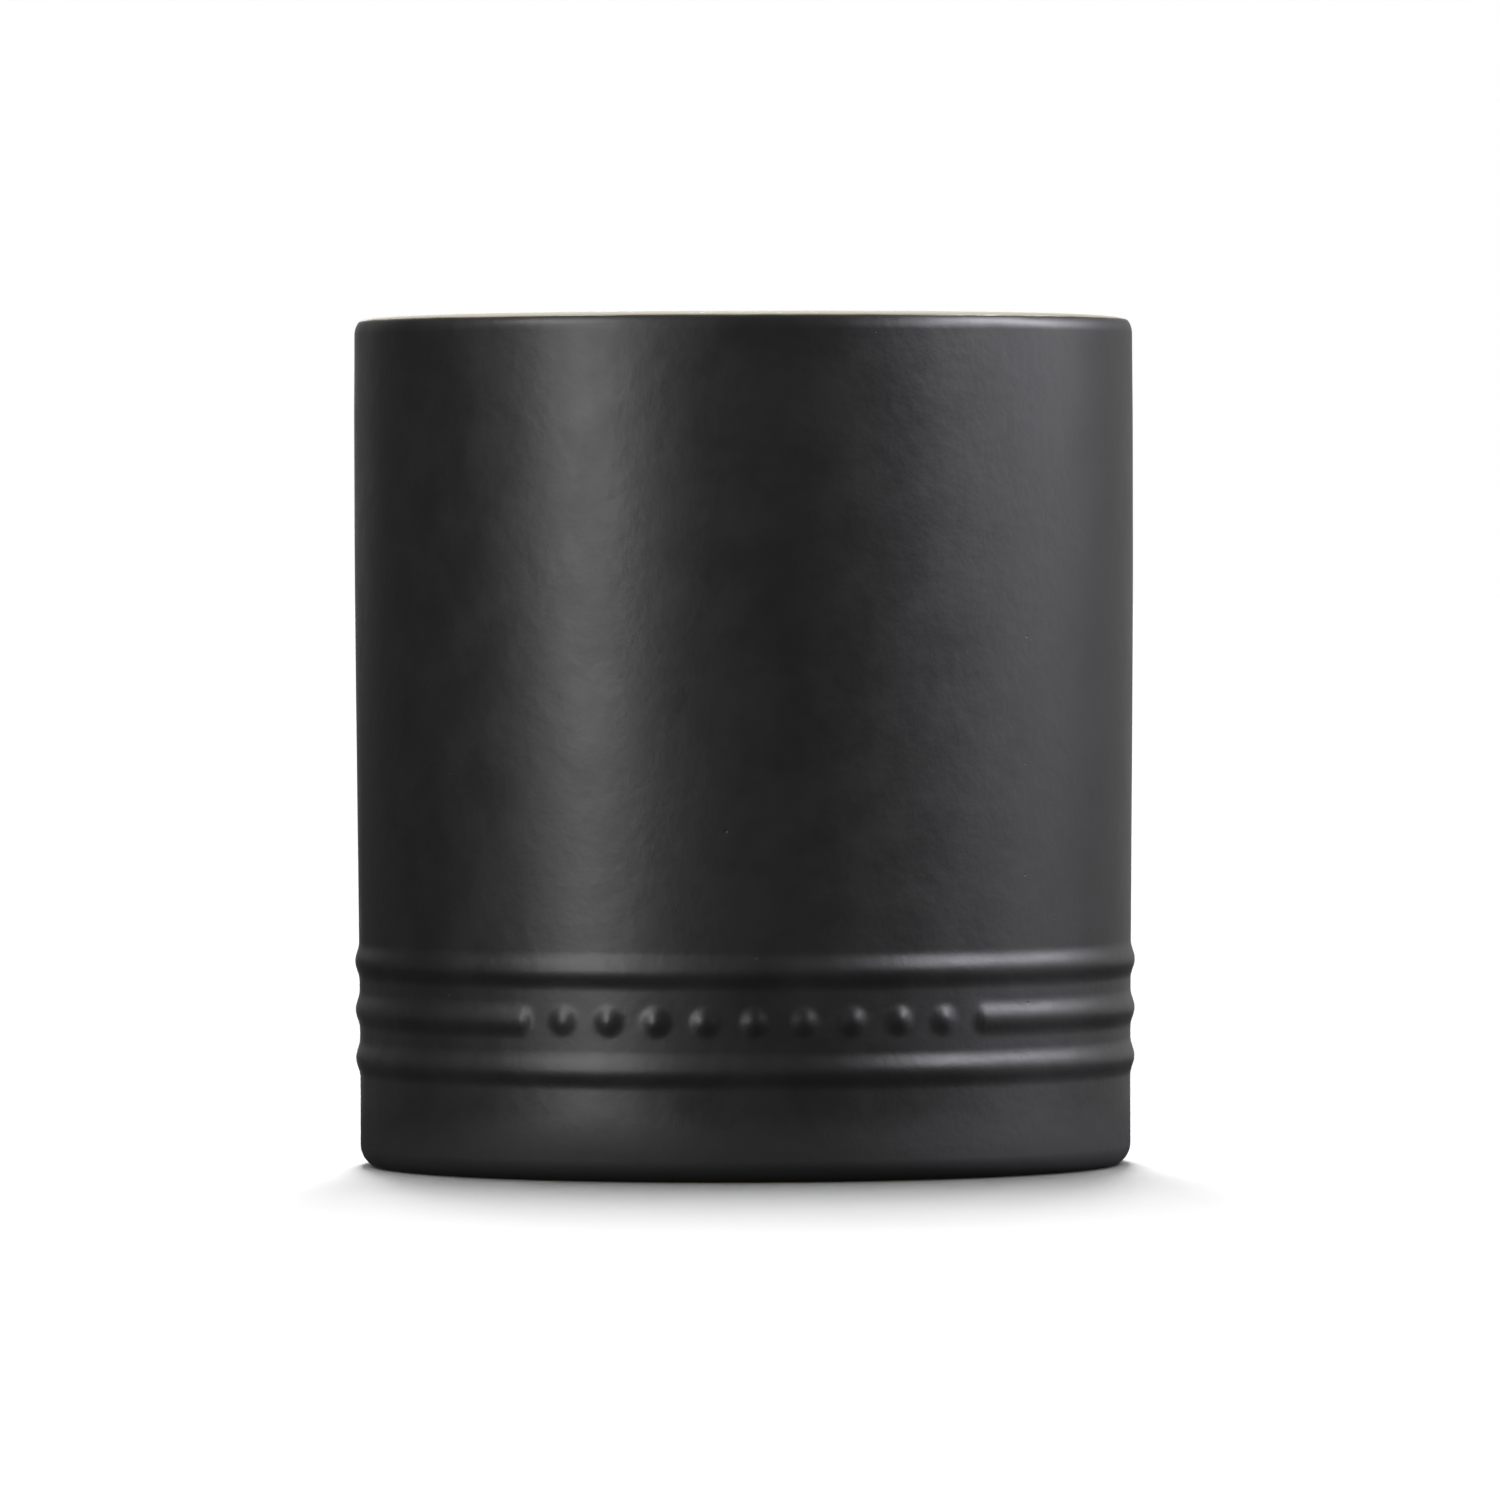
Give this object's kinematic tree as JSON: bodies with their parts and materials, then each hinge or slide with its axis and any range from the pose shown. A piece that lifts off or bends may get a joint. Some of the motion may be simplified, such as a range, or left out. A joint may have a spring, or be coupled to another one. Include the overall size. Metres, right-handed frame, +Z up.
{
  "type": "candle jar",
  "caption": "Straight-sided stoneware candle jar with a rounded rim, raised bands and a row of beads low on the wall; satin black glaze outside, cream glaze inside.",
  "frame": {"origin": "middle of the flat ring that the jar stands on", "axes": "+Z up along the jar's axis, -Y towards the front with the row of beads, +X to the right of that front"},
  "size_m": [0.092, 0.092, 0.1],
  "materials": {
    "bare_clay": "matte",
    "black_glaze": "satin",
    "cream_glaze": "gloss"
  },
  "bodies": {
    "root": {"stoneware_body": "bare_clay", "outer_glaze": "black_glaze", "liner_glaze": "cream_glaze", "underside_glaze": "black_glaze"}
  },
  "joints": []
}
